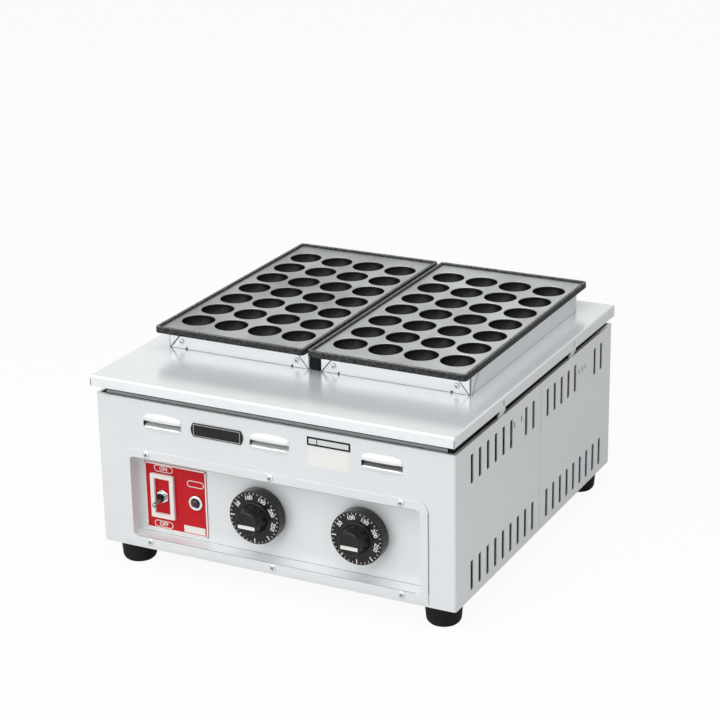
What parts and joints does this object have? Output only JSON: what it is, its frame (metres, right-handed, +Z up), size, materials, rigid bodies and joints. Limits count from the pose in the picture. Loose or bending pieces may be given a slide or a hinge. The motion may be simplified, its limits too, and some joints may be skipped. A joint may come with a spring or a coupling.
{
  "type": "takoyaki maker",
  "caption": "Electric countertop maker for octopus balls: lift-off cast plates of hemispherical cups on a steel cabinet with a dished control panel, turning knobs and a toggle switch.",
  "frame": {"origin": "centre of the base on the table, under the middle of the whole object", "axes": "+X to the object's right as seen from the front, +Y to its back, +Z up"},
  "size_m": [0.47, 0.502, 0.2787],
  "materials": {
    "cabinet_steel": "fine brushed stainless sheet",
    "cover_steel": "satin stainless sheet, half mirror",
    "collar_steel": "bright stainless sheet",
    "inner_steel": "plain sheet",
    "zinc_steel": "plated fasteners",
    "cast_iron": "ground top, dark seasoned cups",
    "black_steel": "satin black",
    "sheath": "oxidised heater sheath",
    "copper": "copper tube",
    "black_plastic": "satin moulded plastic",
    "rubber": "matt",
    "red_label": "printed sheet",
    "white_enamel": "satin white",
    "chrome": "polished",
    "smoked_lens": "smoked, polished",
    "ceramic": "moulded insulating body"
  },
  "bodies": {
    "cabinet": {"badge_plate": "black_plastic", "base_pan": "inner_steel", "centre_divider": "black_steel", "collar_left": "collar_steel", "collar_right": "collar_steel", "control_panel": "cabinet_steel", "cover_bracket_back_left": "collar_steel", "cover_bracket_back_right": "collar_steel", "cover_bracket_front_left": "collar_steel", "cover_bracket_front_right": "collar_steel", "foot_back_left": "rubber", "foot_back_right": "rubber", "foot_bolt_back_left": "zinc_steel", "foot_bolt_back_right": "zinc_steel", "foot_bolt_front_left": "zinc_steel", "foot_bolt_front_right": "zinc_steel", "foot_front_left": "rubber", "foot_front_right": "rubber", "front_shell": "cabinet_steel", "heater_left": "sheath", "heater_right": "sheath", "heater_tray_left": "inner_steel", "heater_tray_right": "inner_steel", "inlet_bushing": "rubber", "label_plate": "red_label", "lamp_bezel": "chrome", "lamp_body": "black_plastic", "lamp_lens": "smoked_lens", "panel_screw_lower_left": "zinc_steel", "panel_screw_lower_middle": "zinc_steel", "panel_screw_lower_right": "zinc_steel", "panel_screw_upper_left": "zinc_steel", "panel_screw_upper_middle": "zinc_steel", "panel_screw_upper_right": "zinc_steel", "rear_shell": "cabinet_steel", "sensor_left": "copper", "sensor_right": "copper", "side_joint_strip_left": "inner_steel", "side_joint_strip_right": "inner_steel", "support_frame": "inner_steel", "switch_guard": "white_enamel", "terminal_block": "ceramic", "thermostat_left": "ceramic", "thermostat_right": "ceramic", "toggle_body": "black_plastic", "toggle_nut": "chrome", "top_cover": "cover_steel"},
    "knob_left": {"knob_left": "black_plastic", "knob_shaft_left": "zinc_steel"},
    "knob_right": {"knob_right": "black_plastic", "knob_shaft_right": "zinc_steel"},
    "toggle": {"toggle_lever": "chrome"},
    "plate_left": {"cooking_plate_left": "cast_iron"},
    "plate_right": {"cooking_plate_right": "cast_iron"}
  },
  "joints": [
    {"name": "knob_left_turn", "type": "hinge", "parent": "cabinet", "child": "knob_left", "pos_m": [-0.024, -0.2323, 0.097], "axis": [0, 1, 0], "range_deg": [0, 300]},
    {"name": "knob_right_turn", "type": "hinge", "parent": "cabinet", "child": "knob_right", "pos_m": [0.109, -0.2323, 0.097], "axis": [0, 1, 0], "range_deg": [0, 300]},
    {"name": "toggle_throw", "type": "hinge", "parent": "cabinet", "child": "toggle", "pos_m": [-0.1562, -0.218, 0.095], "axis": [-1, 0, 0], "range_deg": [0, 24]},
    {"name": "plate_left_lift", "type": "slide", "parent": "cabinet", "child": "plate_left", "axis": [0, 0, 1], "range_m": [0, 0.08]},
    {"name": "plate_right_lift", "type": "slide", "parent": "cabinet", "child": "plate_right", "axis": [0, 0, 1], "range_m": [0, 0.08]}
  ]
}
